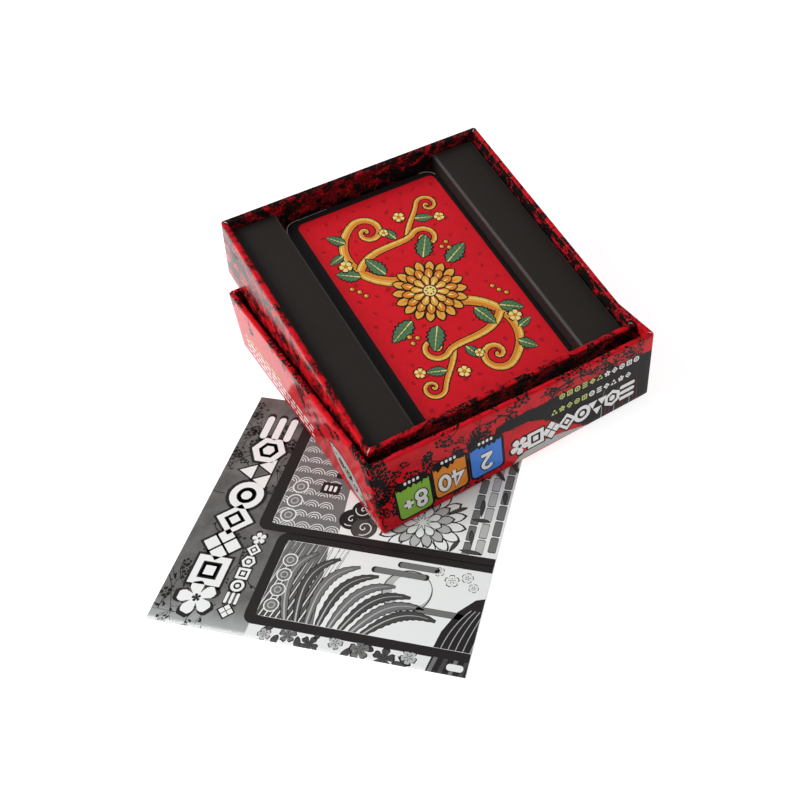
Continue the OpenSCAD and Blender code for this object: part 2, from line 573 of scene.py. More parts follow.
def wrap_paper(name, red, deep_red, gloss):
    """Laminated printed paper: mottled red, black grunge where it is dark, white wear along the edges; on the
    tray's front and left walls that black is painted shade.
    """
    n = Nodes(name)
    uv = n.uv()
    blot = n.noise(uv, 0.22, 7.0, 0.62, 0.6)
    speck = n.noise(uv, 1.3, 5.0, 0.7)
    fine = n.noise(uv, 5.0, 3.0, 0.6)
    dark = n.attribute("dark")
    edge = n.attribute("edge")
    colour = n.mix(n.span(blot, 0.38, 0.66), red, deep_red)
    coarse = n.calc("MULTIPLY", n.calc("SUBTRACT", blot, 0.5), 0.9)
    level = n.calc("ADD", coarse, n.calc("MULTIPLY", n.calc("SUBTRACT", speck, 0.5), 0.6))
    level = n.calc("ADD", level, dark)
    # Black where the level is high: print and grunge, and on the tray's front and left walls painted shade
    colour = n.mix(n.span(level, 0.42, 0.58), colour, (0.008, 0.006, 0.006))
    rub = n.calc("ADD", edge, n.calc("MULTIPLY", n.calc("SUBTRACT", speck, 0.5), 1.7))
    worn = n.span(rub, 1.12, 1.34)
    colour = n.mix(worn, colour, (0.72, 0.66, 0.62))
    shine = n.span(n.noise(uv, 0.35, 4.0, 0.6), 0.3, 0.7, gloss, gloss + 0.07)
    dull = n.calc("ADD", n.calc("MULTIPLY", worn, 0.3), n.span(edge, 0.15, 0.5, 0.0, 0.3))
    n.set(Base_Color=colour, Roughness=n.calc("ADD", shine, dull), IOR=BOX_GLOSS)
    n.set(Specular_IOR_Level=n.span(edge, 0.15, 0.5, 0.5, 0.12))
    waves = n.calc("ADD", n.noise(uv, 0.12, 2.0, 0.5), n.calc("MULTIPLY", fine, 0.02))
    n.set(Normal=n.bump(waves, 0.12, 0.0006))
    return n.material


def ink(name, colour, roughness, gloss, vary=0.0):
    """A printed ink; vary gives the uneven cover of a large field."""
    n = Nodes(name)
    n.set(Roughness=roughness, IOR=gloss)
    if vary:
        cover = n.noise(n.place(), 0.4, 6.0, 0.65, 0.5)
        deep = tuple(x * (1 - vary) for x in colour)
        n.set(Base_Color=n.mix(n.span(cover, 0.35, 0.7), colour, deep))
    else:
        n.set(Base_Color=colour)
    return n.material


def board(name):
    """Raw grey board with fibres and flecks."""
    n = Nodes(name)
    p = n.place()
    fibre = n.noise(n.stretch(p, (1.0, 4.0, 4.0)), 1.6, 6.0, 0.7)
    fleck = n.noise(p, 4.0, 2.0, 0.5)
    colour = n.mix(n.span(fibre, 0.3, 0.7), (0.40, 0.37, 0.33), (0.29, 0.27, 0.24))
    colour = n.mix(n.span(fleck, 0.66, 0.74), colour, (0.12, 0.10, 0.09))
    n.set(Base_Color=colour, Roughness=n.span(fibre, 0.2, 0.8, 0.82, 0.95), IOR=1.4)
    n.set(Normal=n.bump(fibre, 0.5, 0.0001))
    return n.material


def black_card(name):
    """Matte black card with a soft warm grain, paler where its edge attribute is high: on the insert's upper
    folds partly wear and partly a painted highlight.
    """
    n = Nodes(name)
    p = n.place()
    grain = n.noise(p, 3.2, 4.0, 0.7)
    cloud = n.noise(p, 0.12, 4.0, 0.6)
    colour = n.mix(n.span(grain, 0.3, 0.75), (0.014, 0.0105, 0.009), (0.024, 0.019, 0.017))
    colour = n.mix(n.span(cloud, 0.35, 0.7), colour, (0.018, 0.0145, 0.013))
    # Paler along the upper folds: partly wear, partly a painted highlight of light catching the folds
    rub = n.calc("ADD", n.attribute("edge"), n.calc("SUBTRACT", grain, 0.5))
    colour = n.mix(n.span(rub, 0.35, 1.1), colour, (0.046, 0.043, 0.040))
    n.set(Base_Color=colour, Roughness=n.span(cloud, 0.3, 0.7, 0.46, 0.58), IOR=1.28)
    n.set(Normal=n.bump(grain, 0.35, 0.00008))
    return n.material


def plain_paper(name, colour, shade, roughness):
    """Paper with fibres and slight clouding."""
    n = Nodes(name)
    p = n.place()
    fibre = n.noise(n.stretch(p, (1.0, 2.5, 2.5)), 2.4, 5.0, 0.65)
    cloud = n.noise(p, 0.09, 3.0, 0.5)
    tone = n.calc("ADD", n.calc("MULTIPLY", fibre, 0.4), n.calc("MULTIPLY", cloud, 0.6))
    n.set(Base_Color=n.mix(n.span(tone, 0.35, 0.65), colour, shade), Roughness=roughness, IOR=1.45)
    n.set(Normal=n.bump(fibre, 0.2, 0.00005))
    return n.material


def cover_paper(name):
    """The booklet's cover: a dark printed band at one end, white paper that shows at the fold."""
    n = Nodes(name)
    at = tuple(from_booklet(np.zeros((1, 3)))[0])
    p = n.place(at, (0, 0, BOOKLET_TURN))
    along = n.axis(p, "X")
    away = n.axis(p, "Y")
    cloud = n.noise(p, 0.16, 5.0, 0.6, 0.4)
    fibre = n.noise(p, 2.6, 4.0, 0.65)
    white = n.mix(n.span(fibre, 0.3, 0.7), (0.74, 0.76, 0.75), (0.70, 0.72, 0.71))
    strip = n.mix(n.span(cloud, 0.3, 0.72), (0.140, 0.138, 0.132), (0.074, 0.072, 0.068))
    pale = n.span(n.calc("ADD", away, n.calc("MULTIPLY", cloud, 5.0)), 2.0, 13.0, 1.0, 0.0)
    strip = n.mix(pale, strip, (0.34, 0.36, 0.355))
    colour = n.mix(n.span(along, 29.0, 29.3), strip, white)
    rub = n.calc("ADD", away, n.calc("MULTIPLY", n.calc("SUBTRACT", fibre, 0.5), 2.2))
    colour = n.mix(n.span(rub, 0.0, 1.5, 0.85, 0.0), colour, white)
    n.set(Base_Color=colour, Roughness=n.span(cloud, 0.3, 0.7, 0.30, 0.40), IOR=1.48)
    n.set(Normal=n.bump(fibre, 0.12, 0.00005))
    return n.material


def inks(kind, roughness, gloss, colours):
    """Plain inks of one print."""
    return [ink(f"{kind}_{name}", colour, roughness, gloss) for name, colour in colours.items()]


# Inks, in the order that the drawings count them
BLACK, WHITE, RED, DEEP, GREEN, ORANGE, BLUE, LIME, GREY = range(9)
box_inks = inks("ink", 0.15, BOX_GLOSS, {
    "black": (0.007, 0.006, 0.006),
    "white": (0.74, 0.73, 0.72),
    "red": (0.50, 0.010, 0.018),
    "deep_red": (0.20, 0.006, 0.010),
    "green": (0.22, 0.42, 0.05),
    "orange": (0.66, 0.22, 0.03),
    "blue": (0.06, 0.20, 0.62),
    "lime": (0.48, 0.52, 0.16),
    "grey": (0.40, 0.39, 0.38),
})

INKED, PAPER, SLATE, STONE, MIST = range(5)
page_inks = inks("page", 0.36, PAGE_GLOSS, {
    "black": (0.014, 0.012, 0.012),
    "white": (0.74, 0.76, 0.75),
    "slate": (0.055, 0.053, 0.052),
    "stone": (0.15, 0.15, 0.148),
    "mist": (0.42, 0.43, 0.425),
})

EDGE, FIELD, BLOT, GOLD, AMBER, CREAM, LEAF, PINE = range(8)
card_black = ink("card_black", (0.012, 0.010, 0.010), 0.30, CARD_GLOSS)
card_red = ink("card_red", (0.60, 0.010, 0.019), 0.34, CARD_GLOSS, 0.10)
card_inks = [card_black, card_red] + inks("card", 0.34, CARD_GLOSS, {
    "blot": (0.34, 0.008, 0.013),
    "gold": (0.68, 0.34, 0.055),
    "amber": (0.62, 0.20, 0.025),
    "cream": (0.78, 0.62, 0.20),
    "leaf": (0.075, 0.17, 0.085),
    "pine": (0.030, 0.075, 0.045),
})


# Blossoming twigs
def bloom(art, rng, at, size, colour, layer):
    """A blossom of five separate petals round a dot."""
    turn = rng.uniform(0, TURN)
    shape = petal(size * 0.74, size * 0.74, 7, 1.35) + [size * 0.26, 0]
    for i in range(5):
        a = turn + i * TURN / 5 + rng.uniform(-0.08, 0.08)
        art.fan(turned(shape, a, at), colour, layer)
    art.fan(circle(at, size * 0.14, 6), colour, layer)


def twig(art, rng, at, heading, length, width, colour, layer, depth, blooms):
    """A bent twig with side twigs, buds and blossoms."""
    step = 0.9
    count = max(int(length / step), 3)
    bend = rng.uniform(-0.09, 0.09)
    at = np.asarray(at, float)
    line = [at]
    for i in range(count):
        heading += bend + rng.gauss(0, 0.17)
        at = at + step * np.array([math.cos(heading), math.sin(heading)])
        line.append(at)
        side = rng.choice((-1, 1))
        if depth and i > 1 and rng.random() < 0.20:
            twig(art, rng, at, heading + side * rng.uniform(0.5, 1.1), length * rng.uniform(0.3, 0.55),
                 width * 0.6, colour, layer, depth - 1, blooms)
        if rng.random() < blooms:
            off = np.array([-math.sin(heading), math.cos(heading)]) * side * rng.uniform(0.6, 1.6)
            bloom(art, rng, at + off, rng.uniform(1.15, 1.85), colour, layer)
        elif rng.random() < 0.22:
            shape = petal(rng.uniform(0.9, 1.8), rng.uniform(0.5, 0.9), 6)
            art.fan(turned(shape, heading + side * rng.uniform(0.4, 1.2), at), colour, layer)
    art.stroke(line, np.linspace(width, width * 0.35, len(line)), colour, layer)


def thicket(art, rng, u0, u1, v0, v1, count, colour, blooms, size=0.45, layer=1):
    """Twigs scattered over a strip of wall."""
    for i in range(count):
        at = (rng.uniform(u0, u1), rng.uniform(v0, v1))
        twig(art, rng, at, rng.uniform(0, TURN), rng.uniform(7, 14), size, colour, layer, 1, blooms)


# Plain geometric marks, one unit high
def polygon(sides, radius, turn=0.0, at=(0, 0)):
    return arc(at, radius, turn + np.arange(sides) * TURN / sides)


def three_bars():
    return [(round_rect((-0.44, y), (0.44, y + 0.21), 0.1, 3), 0) for y in (-0.46, -0.105, 0.25)]


def cluster(sides, radius, places):
    return [(polygon(sides, radius, QUARTER, at), 0) for at in places]


# The outlines of each mark, each with the share of it that is left open
MARKS = (
    [(polygon(4, 0.52, QUARTER), 0.58), (polygon(4, 0.17, QUARTER), 0)],
    [(flower((0, 0), 0.52, 5, QUARTER, 0.10, 0.30), 0.24)],
    [(polygon(6, 0.50, QUARTER), 0.60), (polygon(6, 0.18, QUARTER), 0)],
    cluster(4, 0.24, ((0, 0.28), (0, -0.28), (-0.28, 0), (0.28, 0))),
    cluster(3, 0.29, ((0, 0.24), (-0.27, -0.24), (0.27, -0.24))),
    [(circle((0, 0), 0.47, 24), 0.58), (circle((0, 0), 0.15, 12), 0)],
    three_bars(),
    [(polygon(4, 0.62, QUARTER / 2), 0.58), (polygon(4, 0.20, QUARTER / 2), 0)],
)


def put_mark(art, kind, at, size, turn, fill, rim, layer, rim_width):
    """A mark with a dark rim round it."""
    for outline, hole in MARKS[kind]:
        p = turned(outline, turn, at, size)
        middle = p.mean(axis=0)
        reach = np.linalg.norm(p - middle, axis=1).mean()
        wide = middle + (p - middle) * (1 + 1.25 * rim_width / reach)
        art.fan(wide, rim, layer)
        if hole:
            art.ring(p, middle + (p - middle) * hole, fill, layer + 1)
        else:
            art.fan(p, fill, layer + 1)


# Numerals, one unit high
def oval(wide, high, middle, n, start=0.0, end=TURN):
    a = np.linspace(start, end, n)
    return np.stack([wide * np.cos(a), middle + high * np.sin(a)], axis=1)


NUMERALS = {
    "0": [oval(0.24, 0.40, 0, 25)],
    "8": [oval(0.19, 0.19, 0.23, 21), oval(0.23, 0.23, -0.2, 21)],
    "2": [np.vstack([oval(0.23, 0.22, 0.19, 12, 2.9, -0.75), [[-0.20, -0.36]]]),
          np.array([[-0.30, -0.41], [0.27, -0.41]])],
    "4": [np.array([[0.12, -0.48], [0.12, 0.45], [-0.27, -0.16], [0.29, -0.16]])],
    "+": [np.array([[-0.24, 0.0], [0.24, 0.0]]), np.array([[0.0, -0.24], [0.0, 0.24]])],
}


def put_number(art, signs, at, size, turn, layer):
    """White numerals with a dark rim."""
    gap = 0.66
    for i, sign in enumerate(signs):
        spot = np.array([(i - (len(signs) - 1) / 2) * gap, 0.0])
        for j, line in enumerate(NUMERALS[sign]):
            p = turned(line + spot, turn, at, size)
            art.stroke(p, 0.30 * size, BLACK, layer)
            art.stroke(p, 0.19 * size, WHITE, layer + 1 + 0.5 * j)


# The lid's print
def lid_dark(u, v):
    """Where the lid's print turns black: a band that widens in front and behind, the rim and the inside."""
    side = np.floor(np.mod(u, 4 * LID_W) / LID_W)
    t = np.mod(u, LID_W)
    low = 16.5 - 18 * smooth(50, 84, t)
    strip = smooth(36, 46, t) * smooth(low - 3.0, low + 1.0, v) * (1 - smooth(18.5, 21.0, v))
    top = (0.10 + 0.26 * smooth(55, 98, t)) * smooth(18, 21, v)
    other = 0.30 * smooth(15, 23, v) * (0.5 + 0.5 * smooth(30, 70, t))
    dark = np.where((side == 0) | (side == 2), np.maximum(strip, top), other)
    dark = np.where(v > lid_skin.v_flat, 0.44, dark)
    return np.where(v > lid_skin.v_inside + 1, 0.55, dark)


# The marks in the order of a row
MARK_ROW = (1, 7, 3, 0, 5, 4, 2, 6)


def lid_face(art, rng, start):
    """The front or back face: three numbered tiles, rows of marks and blossoming twigs round them."""
    tiles = ((12.1, 8.4, GREEN, "8+"), (24.6, 9.4, ORANGE, "40"), (37.3, 9.6, BLUE, "2"))
    for u, v, colour, signs in tiles:
        low = (start + u - 5.5, v - 6.3)
        high = (start + u + 5.5, v + 6.3)
        shadow = round_rect((low[0] - 0.7, low[1] - 0.6), (high[0] + 0.9, high[1] + 0.5), 1.9)
        art.fan(shadow, BLACK, 3)
        art.fan(round_rect(low, high, 1.5), colour, 4)
        middle = high[1] - 0.6
        drip = [(low[0] + 0.2, high[1] + 1.2), (low[0] + 0.2, middle - 1.2)]
        for i in range(12):
            drip.append((low[0] + 0.7 + i * 0.87, middle - rng.uniform(0.2, 2.6) * (0.5 + 0.5 * (i % 2))))
        drip += [(high[0] - 0.2, middle - 0.9), (high[0] - 0.2, high[1] + 1.2)]
        art.fan(drip, BLACK, 5, (start + u, high[1] + 0.6))
        for i in range(4):
            at = (start + u - 2.1 + 1.4 * i, high[1] + 0.2)
            art.fan(round_rect((at[0] - 0.42, at[1] - 0.55), (at[0] + 0.42, at[1] + 0.55), 0.2), WHITE, 6)
        put_number(art, signs, (start + u, v - 1.6), 6.6, math.pi, 6)
    for i in range(8):
        put_mark(art, MARK_ROW[i], (start + 49.2 + 5.95 * i, 7.0), 6.9, math.pi, WHITE, BLACK, 4, 0.55)
    for v, first, limes in ((13.7, 62.3, 5), (18.8, 65.2, 6)):
        for i in range(11):
            colour = LIME if i < limes else WHITE
            at = (start + first + 2.85 * i, v)
            put_mark(art, MARK_ROW[(3 * i + limes) % 8], at, 2.35, 0, colour, BLACK, 4, 0.2)
    sweep = bezier((start + 46.5, 0.6), (start + 52, 7.0), (start + 66, 3.5), (start + 77, 0.2), 18)
    under = bezier((start + 46.5, 0.5), (start + 53, 1.4), (start + 66, 1.0), (start + 77, 0.1), 18)
    n = len(sweep)
    art.add(np.vstack([sweep, under]), [(i, i + 1, n + i + 1, n + i) for i in range(n - 1)], GREY, 3)
    for i in range(9):
        u = start + 80 + 1.9 * i + rng.uniform(-0.5, 0.5)
        line = bezier((u, 0.2), (u + 1, 4), (u - 1, 8), (u + rng.uniform(-1, 2), rng.uniform(8, 15)), 10)
        art.stroke(line, np.linspace(0.32, 0.08, 10), DEEP if i % 3 else GREY, 2)
    thicket(art, rng, start + 2, start + 46, 16, 27, 18, BLACK, 0.20)
    thicket(art, rng, start + 1, start + 6, 2, 24, 7, BLACK, 0.25)
    thicket(art, rng, start + 17, start + 44, 0, 4, 5, BLACK, 0.12)
    thicket(art, rng, start + 46, start + 98, 20, 27, 17, BLACK, 0.15)


def lid_side(art, rng, start):
    """The right or left face: twigs, rows of dashes, and a pale almond-shaped vignette with curls."""
    thicket(art, rng, start + 52, start + 97, 8, 20, 6, BLACK, 0.13)
    thicket(art, rng, start + 3, start + 97, 22, 27, 12, BLACK, 0.16)
    for row, (colour, end) in enumerate(((LIME, 34), (WHITE, 58), (WHITE, 55), (WHITE, 57))):
        u = start + 7
        while u < start + end:
            length = rng.uniform(1.5, 4.5)
            low = (u, 10.4 - 2.4 * row)
            art.fan(round_rect(low, (u + length, low[1] + 1.1), 0.4, 3), colour, 3)
            u += length + 0.9
    at = (start + 82.5, 9.4)
    lens = petal(24, 10.4, 21, 1.0) - [12, 0]
    lean = math.radians(-27)
    art.fan(turned(lens, lean, at), BLACK, 4)
    art.fan(turned(lens, lean, at, 0.94), GREY, 5)
    for i, colour in enumerate((WHITE, DEEP, LIME, WHITE, GREEN)):
        spot = (4 * i - 8, 0.5 * (-1) ** i)
        reach = 3.6 - 0.7 * abs(i - 2)
        art.fan(turned(circle(spot, reach * 0.62, 18), lean, at), BLACK, 6)
        curl = spiral(spot, 0.4 * i, reach * 0.55, 1.3, 1, 22)
        art.stroke(turned(curl, lean, at), np.linspace(0.7, 0.2, 22), colour, 7)
    for i in range(6):
        foot = start + 90.5 + 1.7 * i
        tip = (foot - 1.2, 4.5 - 0.4 * (i % 3))
        line = bezier((foot, 0.2), (foot + 0.3, 1.5), (foot - 0.6, 3), tip, 8)
        art.stroke(line, np.linspace(0.7, 0.1, 8), WHITE, 3)


def lid_print():
    rng = random.Random(11)
    art = Art()
    lid_face(art, rng, 0)
    lid_side(art, rng, LID_W)
    lid_face(art, rng, 2 * LID_W)
    lid_side(art, rng, 3 * LID_W)
    inside = lid_skin.v_inside
    thicket(art, rng, 1, 4 * LID_W - 1, inside + 1, inside + 9, 50, BLACK, 0.12)
    art.cut(*lid_skin.cuts())
    return art


# The tray's print
def tray_black_and_shade(u, v):
    """Where the tray's paper turns black: most of the inside by its print, about half of the front and left
    walls as painted shade, less elsewhere.
    """
    side = np.floor(np.mod(u, 4 * TRAY_W) / TRAY_W)
    t = np.mod(u, TRAY_W)
    # Painted shade: the front and left walls stand in the shade between tray and lid, so they are painted
    # about half black
    front = 0.52
    left = 0.54 - 0.06 * smooth(10, 60, t)
    other = 0.12 + 0.25 * smooth(14, 23, v)
    dark = np.select([side == 0, side == 3], [front, left], other)
    dark = np.where(v > tray_skin.v_top, np.where(side == 2, 0.58, 0.46), dark)
    inner = np.where(side == 1, 0.61, 0.58)
    return np.where(v > tray_skin.v_inside - 0.3, inner, dark)


def tray_print():
    rng = random.Random(23)
    art = Art()
    inside = tray_skin.v_inside
    thicket(art, rng, 0, 3 * TRAY_W, 2, 22, 24, BLACK, 0.13)
    thicket(art, rng, 3.5 * TRAY_W, 4 * TRAY_W, 2, 22, 5, BLACK, 0.13)
    thicket(art, rng, 0, 4 * TRAY_W, 22, 27, 44, BLACK, 0.15)
    thicket(art, rng, TRAY_W, 2 * TRAY_W, inside - 1, inside + 4, 12, RED, 0.15, 0.35)
    thicket(art, rng, 2 * TRAY_W, 5 * TRAY_W, inside, inside + 4, 22, DEEP, 0.15, 0.35)
    art.cut(*tray_skin.cuts())
    return art


# The card backs' print
FIELD_AT = (1.3, -0.25)


def beside(line, offset):
    """A line moved sideways by an offset at each point."""
    step = np.gradient(line, axis=0)
    step /= np.maximum(np.linalg.norm(step, axis=1, keepdims=True), 1e-9)
    return line + np.stack([-step[:, 1], step[:, 0]], axis=1) * np.asarray(offset, float)[:, None]


def vine(art, line, thick, thin, layer):
    """A gold scroll with a dark outline and a shaded side."""
    width = np.linspace(thick, thin, len(line))
    art.stroke(line, width + 0.75, EDGE, layer)
    art.fan(circle(line[-1], (thin + 0.75) * 0.62, 12), EDGE, layer)
    art.stroke(line, width, GOLD, layer + 1)
    art.fan(circle(line[-1], thin * 0.62, 12), GOLD, layer + 1)
    art.stroke(beside(line, -width * 0.27), width * 0.34, AMBER, layer + 2)
    art.stroke(beside(line, width * 0.24), width * 0.12, CREAM, layer + 2)
    for i in range(3, len(line) - 2, 2):
        across = np.stack([beside(line, width * 0.5)[i], beside(line, width * 0.1)[i]])
        art.stroke(across, [0.14, 0.05], EDGE, layer + 2)


def leaf(art, at, angle, length, width, layer):
    """A toothed green leaf with pale veins."""
    shape = petal(length, width, 25, 0.8)
    teeth = 1 + 0.10 * np.sign(np.sin(np.arange(len(shape)) * QUARTER + 0.4))
    toothed = shape * np.stack([np.ones(len(shape)), teeth], axis=1)
    middle = turned([[length * 0.5, 0]], angle, at)[0]
    art.fan(turned(toothed, angle, at), EDGE, layer, middle)
    inner = toothed * [0.94, 0.80] + [length * 0.03, 0]
    art.fan(turned(inner, angle, at), LEAF, layer + 1, middle)
    rib = np.array([[length * 0.04, 0], [length * 0.5, 0.0], [length * 0.93, 0]])
    art.stroke(turned(rib, angle, at), [0.42, 0.3, 0.1], CREAM, layer + 2)
    for i in range(1, 5):
        x = length * (0.14 + 0.16 * i)
        reach = width * 0.30 * math.sin(math.pi * (0.14 + 0.16 * i))
        for side in (-1, 1):
            vein = np.array([[x, 0], [x + 0.9, side * reach]])
            art.stroke(turned(vein, angle, at), [0.26, 0.08], PINE, layer + 2)


def petal_ring(art, at, radius, count, inner, turn, fill, shade, layer):
    """One ring of rounded petals."""
    length = radius - inner
    width = TURN * (inner + 0.72 * length) / count * 0.99
    for i in range(count):
        angle = turn + i * TURN / count
        root = np.array([inner, 0.0])
        outer = petal(length, width, 11, 1.7) + root
        middle = turned([[inner + 0.6 * length, 0]], angle, at)[0]
        art.fan(turned(outer, angle, at), EDGE, layer, middle)
        fillet = petal(length, width, 11, 1.7) * [0.90, 0.72] + root + [0.04 * length, 0]
        art.fan(turned(fillet, angle, at), fill, layer + 1, middle)
        rib = np.array([[inner + 0.12 * length, 0], [inner + 0.5 * length, 0], [inner + 0.74 * length, 0]])
        art.stroke(turned(rib, angle, at), [width * 0.30, width * 0.20, 0.05], shade, layer + 2)


def chrysanthemum(art, at, radius, layer):
    """A round many-petalled flower."""
    petal_ring(art, at, radius, 18, radius * 0.42, 0.0, GOLD, AMBER, layer)
    petal_ring(art, at, radius * 0.76, 14, radius * 0.26, 0.2, AMBER, CREAM, layer + 3)
    petal_ring(art, at, radius * 0.52, 10, radius * 0.12, 0.1, GOLD, CREAM, layer + 6)
    art.fan(circle(at, radius * 0.20, 20), EDGE, layer + 9)
    art.fan(circle(at, radius * 0.165, 20), CREAM, layer + 10)
    for i in range(7):
        a = i * TURN / 7
        spot = arc(at, radius * 0.10, np.array([a]))[0]
        art.fan(circle(spot, radius * 0.028, 7), PINE, layer + 11)


def ray(at, angle, near, far):
    """A line that runs out from a point."""
    return np.vstack([arc(at, near, np.array([angle])), arc(at, far, np.array([angle]))])


def small_bloom(art, at, size, turn, layer):
    """A small five-petalled blossom."""
    art.fan(flower(at, size, 5, turn), EDGE, layer, at)
    art.fan(flower(at, size * 0.80, 5, turn), CREAM, layer + 1, at)
    art.fan(circle(at, size * 0.26, 10), AMBER, layer + 2)
    for i in range(5):
        art.stroke(ray(at, turn + (i + 0.5) * TURN / 5, size * 0.12, size * 0.42), 0.16, EDGE, layer + 2)


def berry(art, at, radius, layer):
    """A round berry with a light spot."""
    art.fan(circle(at, radius, 14), EDGE, layer)
    art.fan(circle(at, radius * 0.72, 14), AMBER, layer + 1)
    art.fan(circle((at[0] - radius * 0.2, at[1] + radius * 0.2), radius * 0.28, 8), CREAM, layer + 2)


def half_scroll(art, turn):
    """One half of the scrollwork round the middle flower."""
    def put(points):
        return turned(points, turn, (0.8, -0.6), 1.15)

    stem = bezier((-4.0, 6.0), (-16.5, 10.0), (-19.5, 24.0), (-8.5, 30.5), 26)
    curl = spiral((-5.4, 26.6), math.radians(128), 5.0, 1.25, -1, 30, 0.8)
    vine(art, put(np.vstack([stem[:-1], curl])), 3.7, 1.0, 3)
    branch = bezier((-13.8, 15.0), (-8.0, 22.0), (3.0, 17.0), (6.5, 20.5), 18)
    knot = spiral((8.6, 17.2), math.radians(122), 3.9, 1.3, -1, 28, 0.85)
    vine(art, put(np.vstack([branch[:-1], knot])), 2.6, 0.8, 6)
    offshoot = bezier((3.5, 18.3), (6.0, 24.0), (10.0, 25.5), (13.0, 30.0), 16)
    tail = spiral((15.6, 28.0), math.radians(142), 3.3, 1.2, -1, 24, 0.85)
    vine(art, put(np.vstack([offshoot[:-1], tail])), 1.9, 0.7, 3)
    for at, angle, length, width in (((-14.6, 13.0), 2.55, 8.5, 5.2), ((-12.8, 25.6), 2.3, 7.0, 4.2),
                                     ((4.2, 11.0), 0.95, 10.5, 6.2), ((9.5, 6.5), 0.45, 11.0, 6.0),
                                     ((9.4, 25.0), -0.35, 7.0, 4.0), ((-8.0, 10.5), 1.9, 9.5, 5.4),
                                     ((-15.5, 22.0), 3.4, 6.0, 3.4), ((1.0, 20.5), 1.9, 6.5, 3.8)):
        leaf(art, put([at])[0], angle + turn, length, width, 9)
    for at, size in (((-16.8, 18.2), 2.9), ((5.6, 27.4), 2.7), ((16.4, 22.4), 2.4), ((-1.2, 24.2), 2.0)):
        small_bloom(art, put([at])[0], size, 0.4 + turn, 12)
    for at in ((-17.6, 8.6), (-19.0, 10.4), (-16.6, 6.6), (11.2, 12.2), (13.0, 11.0), (13.2, 13.2)):
        berry(art, put([at])[0], 1.05, 12)


def card_back():
    """The back of a card: black edge, red field with blots, and a gold flower in green and gold scrolls."""
    rng = random.Random(5)
    art = Art()
    art.fan(round_rect((-CARD_W / 2, -CARD_L / 2), (CARD_W / 2, CARD_L / 2), CARD_R, 8), EDGE, 0)
    low = (FIELD_AT[0] - 26.2, FIELD_AT[1] - 43.0)
    high = (FIELD_AT[0] + 26.2, FIELD_AT[1] + 43.0)
    art.fan(round_rect(low, high, 2.2, 8), FIELD, 1)
    for row in range(15):
        for column in range(9):
            at = (low[0] + 3.2 + 5.75 * column + 2.9 * (row % 2) + rng.uniform(-0.9, 0.9),
                  low[1] + 3.2 + 5.7 * row + rng.uniform(-0.9, 0.9))
            if at[0] > high[0] - 1.6:
                continue
            a = np.linspace(0, TURN, 8, endpoint=False)
            reach = np.array([rng.uniform(0.4, 1.2) for x in a])
            blot = np.stack([reach * np.cos(a), 0.75 * reach * np.sin(a)], axis=1)
            art.fan(turned(blot, rng.uniform(0, 3), at), BLOT, 2, at)
    half_scroll(art, 0.0)
    half_scroll(art, math.pi)
    chrysanthemum(art, (0.8, -0.6), 12.6, 15)
    return art


def corner_highlights():
    """Painted highlights: pale lines along the back corners of the top card's black edge, where its rounded
    edge catches the light.
    """
    art = Art()
    x = CARD_W / 2 - CARD_R
    y = CARD_L / 2 - CARD_R
    a = np.radians(np.linspace(188, 84, 16))
    left = np.vstack([arc((-x, y), 4.4, a), [[-x + 6, y + 4.4], [-x + 12, y + 4.42]]])
    art.stroke(left, np.linspace(0.26, 0.10, len(left)), MIST, 3)
    a = np.radians(np.linspace(104, 26, 12))
    art.stroke(arc((x, y), 4.4, a), 0.2, MIST, 3)
    return art


# The suits: petals, reach, petal ink, heart ink, leaf length, leaf width, leaf ink, hangs from above
SUIT_CARDS = 4
SUITS = (
    (3, 8.0, PINE, AMBER, 7.0, 1.3, LEAF, False),
    (5, 6.5, FIELD, CREAM, 3.0, 1.6, LEAF, False),
    (5, 7.0, CREAM, FIELD, 4.5, 2.4, LEAF, True),
    (4, 4.0, BLOT, CREAM, 5.0, 2.0, PINE, True),
    (3, 7.5, BLOT, GOLD, 10.0, 1.8, LEAF, False),
    (8, 8.5, FIELD, GOLD, 6.5, 4.4, PINE, False),
    (4, 3.6, FIELD, CREAM, 3.2, 2.4, LEAF, False),
    (16, 7.0, AMBER, CREAM, 11.0, 1.2, PINE, False),
    (14, 8.0, GOLD, AMBER, 5.5, 3.6, LEAF, False),
    (7, 7.5, AMBER, GOLD, 4.0, 1.8, BLOT, True),
    (4, 3.0, GOLD, EDGE, 8.0, 1.5, LEAF, True),
    (6, 5.0, CREAM, AMBER, 8.5, 6.0, PINE, False),
)


def suit_bloom(art, at, suit):
    """The blossom of a suit, of separate petals round a heart."""
    petals, reach, ink_number, heart = SUITS[suit][:4]
    outline = petal(reach * 0.7, min(reach * 0.66, 3.6 * reach / petals)) + [reach * 0.3, 0]
    for i in range(petals):
        art.fan(turned(outline, (i + 0.25) * TURN / petals, at), ink_number, 3)
    art.fan(circle(at, reach * 0.24, 16), heart, 3)


